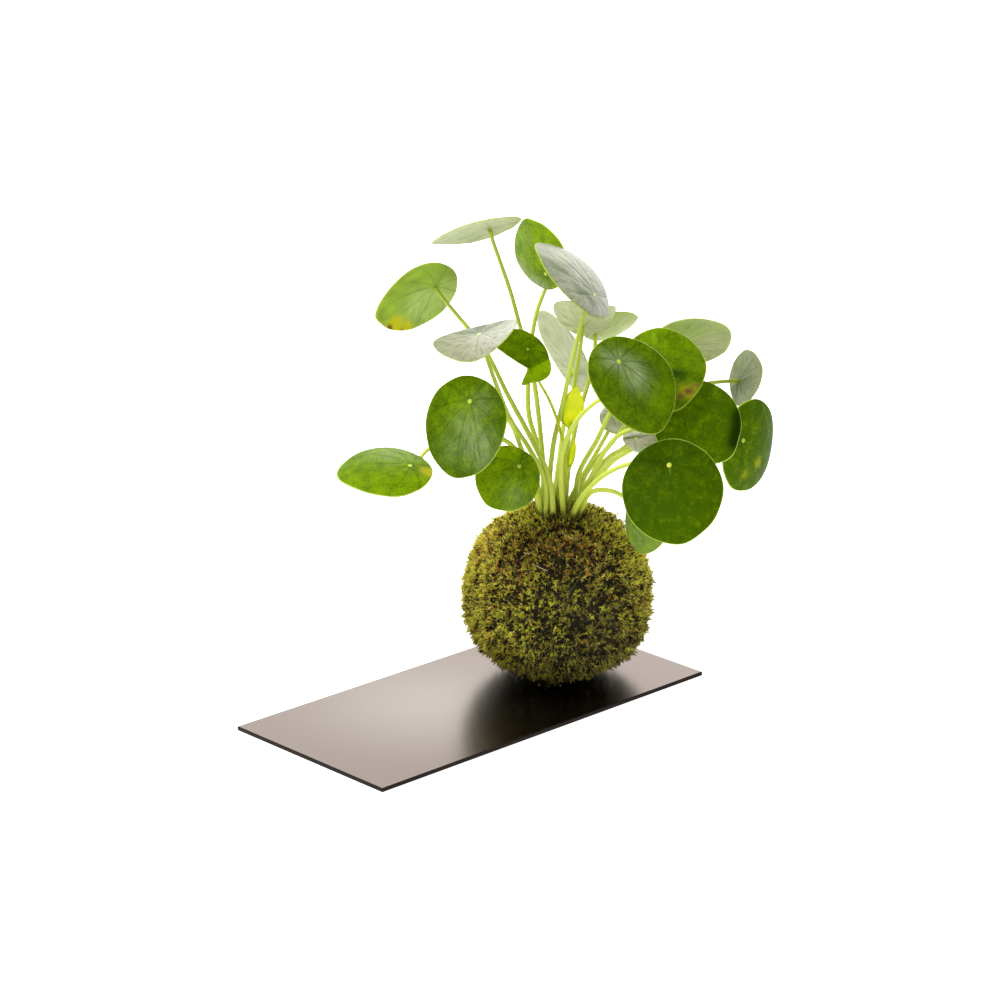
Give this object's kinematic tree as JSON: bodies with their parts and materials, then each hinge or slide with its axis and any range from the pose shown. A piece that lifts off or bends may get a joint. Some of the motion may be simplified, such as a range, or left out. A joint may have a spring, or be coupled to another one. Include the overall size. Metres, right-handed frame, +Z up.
{
  "type": "kokedama moss ball plant",
  "caption": "Round-leaved house plant on long thin stalks, growing out of a thread-bound ball of moss that rests on a thin flat black plate.",
  "frame": {"origin": "centre of the plate's underside", "axes": "+Z up; +X along the plate's long side, towards the end that carries the ball; +Y along its short side"},
  "size_m": [0.368, 0.2342, 0.3321],
  "materials": {
    "plate_black": "satin black, smooth, softly mirroring",
    "moss": "dry sheet moss, gold-green shoots over dark brown gaps",
    "soil": "dark damp soil with roots",
    "crown": "short brown-green woody stem with dry leaf bases",
    "thread": "fine pale binding thread",
    "leaf": "waxy green blade with fine veins, white sheen above and pale green below",
    "stalk": "smooth translucent yellow-green",
    "young_leaf": "vivid yellow folded young leaf"
  },
  "bodies": {
    "root": {"base_plate": "plate_black", "moss_ball": "moss", "soil_core": "soil", "plant_crown": "crown", "binding_thread": "thread", "leaf_blade_01": "leaf", "leaf_stalk_01": "stalk", "leaf_blade_02": "leaf", "leaf_stalk_02": "stalk", "leaf_blade_03": "leaf", "leaf_stalk_03": "stalk", "leaf_blade_04": "leaf", "leaf_stalk_04": "stalk", "leaf_blade_05": "leaf", "leaf_stalk_05": "stalk", "leaf_blade_06": "leaf", "leaf_stalk_06": "stalk", "leaf_blade_07": "leaf", "leaf_stalk_07": "stalk", "leaf_blade_08": "leaf", "leaf_stalk_08": "stalk", "leaf_blade_09": "leaf", "leaf_stalk_09": "stalk", "leaf_blade_10": "leaf", "leaf_stalk_10": "stalk", "leaf_blade_11": "leaf", "leaf_stalk_11": "stalk", "leaf_blade_12": "leaf", "leaf_stalk_12": "stalk", "leaf_blade_13": "leaf", "leaf_stalk_13": "stalk", "leaf_blade_14": "leaf", "leaf_stalk_14": "stalk", "leaf_blade_15": "leaf", "leaf_stalk_15": "stalk", "leaf_blade_16": "leaf", "leaf_stalk_16": "stalk", "leaf_blade_17": "leaf", "leaf_stalk_17": "stalk", "leaf_blade_18": "leaf", "leaf_stalk_18": "stalk", "leaf_blade_19": "leaf", "leaf_stalk_19": "stalk", "leaf_blade_20": "leaf", "leaf_stalk_20": "stalk", "leaf_blade_21": "leaf", "leaf_stalk_21": "stalk", "leaf_blade_22": "leaf", "leaf_stalk_22": "stalk", "young_leaf_01": "young_leaf", "young_leaf_02": "young_leaf"}
  },
  "joints": []
}
